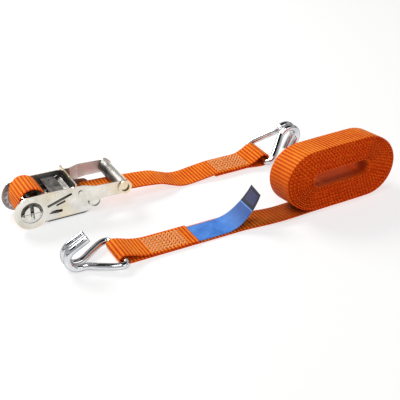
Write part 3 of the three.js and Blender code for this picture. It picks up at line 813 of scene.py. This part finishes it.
short_strap()
strap_tail()
long_strap()
label()
claw_hook("rear_claw_hook", REAR_BAR, (1, -1, -1), "rear_hook", "rear_hook")
claw_hook("front_claw_hook", FRONT_BAR, (-1, -1, 1), "front_hook", "front_hook")
pawl_spring("drive_coil_spring", "drive_spring", DRIVE_SLOT, (12.9, 25.9), "handle")
pawl_spring("lock_coil_spring", "lock_spring", LOCK_SLOT, (25.4, 35.3), "frame")
arm_slot()

# ---- steel parts that keep their CAD shape, with rounded edges ----
KEPT = {
    "zinc": ["tie_bolt", "tie_bolt_nut", "ratchet_wheel_near", "ratchet_wheel_far", "spindle_half_left",
             "spindle_half_right", "handle_arm_near", "handle_arm_far", "arm_rivet_near", "arm_rivet_far",
             "grip_tube", "drive_pawl"],
    "plate": ["frame_side_near", "frame_side_far", "frame_floor"],
    # Painted shade: these parts take the dark copy of the steel, for the shade inside the ratchet and beside
    # the grip.
    "inner": ["lock_spring_seat", "lock_pawl", "handle_bridge", "grip_shroud"],
    "spring": ["split_pin_near", "split_pin_far"],
}


ROUND = 0.35


def soften(node, material):
    """Gives a kept node its material and rounds its sharp edges."""
    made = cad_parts[node]
    made.data.materials.clear()
    made.data.materials.append(MATERIALS[material])
    weld = made.modifiers.new("weld", "WELD")
    weld.merge_threshold = 1e-5
    bevel = made.modifiers.new("round", "BEVEL")
    bevel.width = ROUND * MM
    bevel.segments = 2
    bevel.limit_method = "ANGLE"
    bevel.angle_limit = math.radians(40)


def repaint(nodes, material, chosen):
    """Gives another material to the faces that chosen picks by their middle, from the spindle, and normal."""
    for node in nodes:
        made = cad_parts[node]
        made.data.materials.append(MATERIALS[material])
        index = len(made.data.materials) - 1
        world = made.matrix_world
        for face in made.data.polygons:
            middle = (np.array(world @ face.center) - LAYOUT) / MM - SPINDLE
            normal = world.to_3x3() @ face.normal
            if chosen(middle, normal):
                face.material_index = index


def outline(normal):
    """True for a face on a plate's or rod's outline or bore, false for one on its flat sides."""
    return abs(normal.y) < 0.3


def inward(normal):
    """True for the inner side of a plate at the far side of the ratchet."""
    return normal.y < -0.3


def within(at, radius, middle=(0, 0)):
    return math.hypot(at[0] - middle[0], at[2] - middle[1]) < radius


for kind, nodes in KEPT.items():
    for kept in nodes:
        soften(kept, kind)

halves = ("spindle_half_left", "spindle_half_right")
wheels = ("ratchet_wheel_near", "ratchet_wheel_far")
arms = ("handle_arm_near", "handle_arm_far")
# Painted shade: dark steel on the walls of the spindle's slot.
repaint(halves, "inner", lambda at, normal: abs(normal.x) > 0.9 and abs(at[0]) < 3.2)
# Painted shade in the wheels' hubs, painted bright low down.
repaint(wheels, "hub", lambda at, normal: within(at, 17.2))
# Painted shade: dark steel on the arms' bores round the hub.
repaint(arms, "inner", lambda at, normal: outline(normal) and within(at, 18))
repaint(arms[1:], "shade", lambda at, normal: inward(normal) and at[0] < ARM_JOG)
# Painted reflection: a lighter, pinkish copy of the plating on the far arm's inner face past its jog.
repaint(arms[1:], "satin_and_reflection", lambda at, normal: inward(normal) and at[0] >= ARM_JOG)
# Painted shade: a greyer, bluish copy of the plating on the far wheel's inner face.
repaint(wheels[1:], "disc", lambda at, normal: inward(normal))
repaint(["frame_side_far"], "shade", lambda at, normal: inward(normal))
# Painted shade: dark steel on the drive pawl's low part, inside the ratchet.
repaint(["drive_pawl"], "inner", lambda at, normal: at[2] < 27)
# Painted shadow: dark steel on the outlines of the tie bolt and the near rivet.
repaint(["tie_bolt", "arm_rivet_near"], "inner", lambda at, normal: outline(normal))
# Painted shade: dark steel on the outline of the grip tube's end.
repaint(["grip_tube"], "inner", lambda at, normal: outline(normal) and within(at, 7.5, GRIP_AT))


# ---- floor and light ----
FLOOR_HALF = 4.0


def make_floor():
    corners = [(x * FLOOR_HALF, y * FLOOR_HALF, 0) for x, y in ((-1, -1), (1, -1), (1, 1), (-1, 1))]
    mesh = bpy.data.meshes.new("floor")
    mesh.from_pydata(corners, [], [(0, 1, 2, 3)])
    floor = bpy.data.objects.new("floor", mesh)
    bpy.context.scene.collection.objects.link(floor)
    floor.location.z = -0.0002
    s = Shader("floor")
    s.set(base_color=(0.34, 0.34, 0.34, 1), roughness=0.85)
    s.surface.inputs["Emission Color"].default_value = (1, 1, 1, 1)
    s.surface.inputs["Emission Strength"].default_value = 0.68
    mesh.materials.append(s.material)


def area_light(name, at, towards, size, power, colour=(1, 1, 1)):
    data = bpy.data.lights.new(name, "AREA")
    data.shape = "RECTANGLE"
    data.size = size[0]
    data.size_y = size[1]
    data.energy = power
    data.color = colour
    light = bpy.data.objects.new(name, data)
    bpy.context.scene.collection.objects.link(light)
    light.location = at
    light.rotation_mode = "QUATERNION"
    light.rotation_quaternion = (Vector(towards) - Vector(at)).to_track_quat("-Z", "Y")


# Brightness of the surroundings by the sine of the angle above the horizon: a pale horizon, a dark band, a
# bright band and a dark ceiling, which bright steel reflects as stripes.
SURROUNDINGS = (
    (0.0, 0.75), (0.16, 0.7), (0.22, 0.06), (0.29, 0.06), (0.36, 0.5), (0.58, 0.5), (0.7, 0.3), (0.78, 0.03),
    (1.0, 0.015),
)


def make_world():
    world = bpy.data.worlds.new("studio")
    bpy.context.scene.world = world
    world.use_nodes = True
    tree = world.node_tree
    tree.nodes.clear()
    output = tree.nodes.new("ShaderNodeOutputWorld")
    background = tree.nodes.new("ShaderNodeBackground")
    where = tree.nodes.new("ShaderNodeTexCoord")
    split = tree.nodes.new("ShaderNodeSeparateXYZ")
    ramp = tree.nodes.new("ShaderNodeValToRGB")
    tree.links.new(where.outputs["Generated"], split.inputs[0])
    tree.links.new(split.outputs["Z"], ramp.inputs[0])
    tree.links.new(ramp.outputs[0], background.inputs["Color"])
    tree.links.new(background.outputs[0], output.inputs["Surface"])
    elements = ramp.color_ramp.elements
    while len(elements) < len(SURROUNDINGS):
        elements.new(0.5)
    for element, (position, grey) in zip(elements, SURROUNDINGS):
        element.position = position
        element.color = (grey, grey, grey, 1)
    background.inputs["Strength"].default_value = 1.0


make_floor()
make_world()
middle = (0.0, 0.0, 0.03)
area_light("back_softbox", (-0.55, 1.45, 1.25), middle, (1.1, 0.8), 33, (1.0, 0.98, 0.95))
area_light("left_softbox", (-0.6, -0.7, 1.9), middle, (0.8, 0.8), 12)
area_light("front_fill", (0.6, -1.8, 1.1), middle, (1.2, 0.8), 4)
bpy.context.scene.view_settings.view_transform = "Standard"
